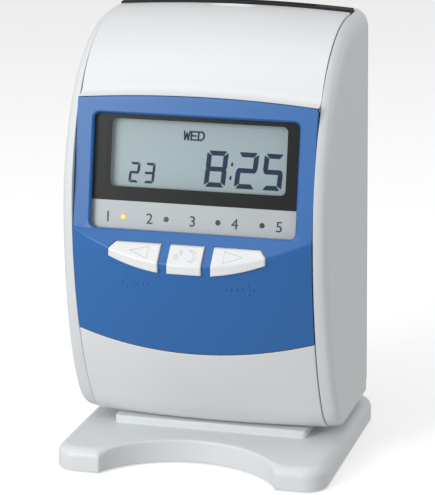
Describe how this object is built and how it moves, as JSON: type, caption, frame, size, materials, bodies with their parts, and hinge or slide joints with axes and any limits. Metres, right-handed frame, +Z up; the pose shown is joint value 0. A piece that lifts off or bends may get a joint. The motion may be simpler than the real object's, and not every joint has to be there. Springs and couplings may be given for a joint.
{
  "type": "electronic time clock",
  "caption": "Desk time clock with a card slot on top, a display window, three keys in a bowed blue front panel and a notched stand.",
  "frame": {"origin": "floor level under the middle of the clock", "axes": "+X to the right seen from the front, +Y to the back, +Z up"},
  "size_m": [0.15, 0.1412, 0.2443],
  "materials": {
    "white_plastic": "fine grain, moulded",
    "cover_white": "smooth satin, moulded",
    "panel_blue": "smooth metallic blue paint",
    "key_white": "smooth satin, moulded",
    "black_plastic": "fine grain, moulded",
    "grey_plastic": "moulded",
    "clear_lens": "clear moulded acrylic",
    "mask_black": "printed film",
    "strip_silver": "printed film",
    "lcd_grey": "matt polariser film",
    "pale_foil": "foil",
    "lamp_amber": "clear tinted resin, lit",
    "lamp_smoke": "tinted resin",
    "board_green": "solder resist",
    "switch_grey": "moulded",
    "sheet_steel": "plated sheet",
    "ground_steel": "ground",
    "zinc": "zinc plated",
    "brass": "machined",
    "rubber": "matt",
    "gear_cream": "moulded acetal",
    "ribbon_cloth": "inked cloth",
    "knob_blue": "moulded",
    "core_steel": "varnished laminations",
    "battery_wrap": "shrink sleeve"
  },
  "bodies": {
    "cabinet": {"base_stand": "white_plastic", "rubber_feet": "rubber", "stand_screws": "zinc", "rear_case": "white_plastic", "rear_cover": "white_plastic", "rear_screws": "zinc", "card_slot_bezel": "black_plastic", "power_inlet": "black_plastic", "frame_floor_plate": "sheet_steel", "left_side_frame": "sheet_steel", "right_side_frame": "sheet_steel", "frame_screws": "zinc", "motor_bridge": "sheet_steel", "chute_front": "sheet_steel", "chute_rear": "sheet_steel", "card_stop": "switch_grey", "card_sensor": "black_plastic", "platen": "rubber", "carriage_rods": "ground_steel", "carriage_motor": "zinc", "carriage_belt": "rubber", "ribbon_cassette": "black_plastic", "ink_ribbon": "ribbon_cloth", "feed_motor": "zinc", "main_board": "board_green", "transformer": "core_steel", "backup_battery": "battery_wrap", "buzzer": "black_plastic"},
    "front_cover": {"upper_cover": "cover_white", "lower_cover": "cover_white", "blue_panel": "panel_blue", "cover_frame": "grey_plastic", "window_lens": "clear_lens", "lens_mask": "mask_black", "label_strip": "strip_silver", "lcd_frame": "black_plastic", "lcd_glass": "lcd_grey", "lcd_reflector": "pale_foil", "lamp_lit": "lamp_amber", "lamps_dark": "lamp_smoke", "front_board": "board_green", "board_screws": "zinc", "tact_switches": "switch_grey"},
    "left_key_cap": {"left_key": "key_white"},
    "middle_key_cap": {"middle_key": "key_white"},
    "right_key_cap": {"right_key": "key_white"},
    "carriage": {"print_carriage": "switch_grey", "print_head": "ground_steel"},
    "drive_wheel": {"drive_pulley": "gear_cream"},
    "idler_wheel": {"idler_pulley": "gear_cream"},
    "feed_roll": {"feed_shaft": "ground_steel", "feed_rollers": "rubber", "feed_gear": "gear_cream"},
    "pinch_roll": {"pinch_shaft": "ground_steel", "pinch_rollers": "rubber"},
    "pinion": {"motor_pinion": "brass"},
    "knob": {"ribbon_knob": "knob_blue"}
  },
  "joints": [
    {"name": "cover_pull", "type": "slide", "parent": "cabinet", "child": "front_cover", "axis": [0, -1, 0], "range_m": [0, 0.06]},
    {"name": "left_key_press", "type": "slide", "parent": "front_cover", "child": "left_key_cap", "axis": [0, 1, 0], "range_m": [0, 0.0008], "stiffness_N_per_m": 250},
    {"name": "middle_key_press", "type": "slide", "parent": "front_cover", "child": "middle_key_cap", "axis": [0, 1, 0], "range_m": [0, 0.0008], "stiffness_N_per_m": 250},
    {"name": "right_key_press", "type": "slide", "parent": "front_cover", "child": "right_key_cap", "axis": [0, 1, 0], "range_m": [0, 0.0008], "stiffness_N_per_m": 250},
    {"name": "carriage_travel", "type": "slide", "parent": "cabinet", "child": "carriage", "axis": [1, 0, 0], "range_m": [-0.028, 0.028]},
    {"name": "drive_pulley_turn", "type": "hinge", "parent": "cabinet", "child": "drive_wheel", "pos_m": [-0.04, 0.01762, 0.2181], "axis": [0, 1, 0], "range_deg": [-225, 225]},
    {"name": "idler_pulley_turn", "type": "hinge", "parent": "cabinet", "child": "idler_wheel", "pos_m": [0.04, 0.01762, 0.2181], "axis": [0, 1, 0], "range_deg": [-225, 225]},
    {"name": "feed_turn", "type": "hinge", "parent": "cabinet", "child": "feed_roll", "pos_m": [0, 0.02982, 0.1225], "axis": [1, 0, 0], "continuous": true},
    {"name": "pinch_turn", "type": "hinge", "parent": "cabinet", "child": "pinch_roll", "pos_m": [0, 0.04542, 0.1225], "axis": [1, 0, 0], "continuous": true},
    {"name": "pinion_turn", "type": "hinge", "parent": "cabinet", "child": "pinion", "pos_m": [0.0592, 0.00582, 0.1225], "axis": [1, 0, 0], "continuous": true},
    {"name": "ribbon_knob_turn", "type": "hinge", "parent": "cabinet", "child": "knob", "pos_m": [-0.03, -0.00388, 0.19], "axis": [0, 1, 0], "continuous": true}
  ],
  "couplings": [
    {"joint": "drive_pulley_turn", "follows": "carriage_travel", "rad_per_m": -136.99},
    {"joint": "idler_pulley_turn", "follows": "carriage_travel", "rad_per_m": -136.99},
    {"joint": "pinch_turn", "follows": "feed_turn", "ratio": -1.1429},
    {"joint": "pinion_turn", "follows": "feed_turn", "ratio": -2}
  ]
}
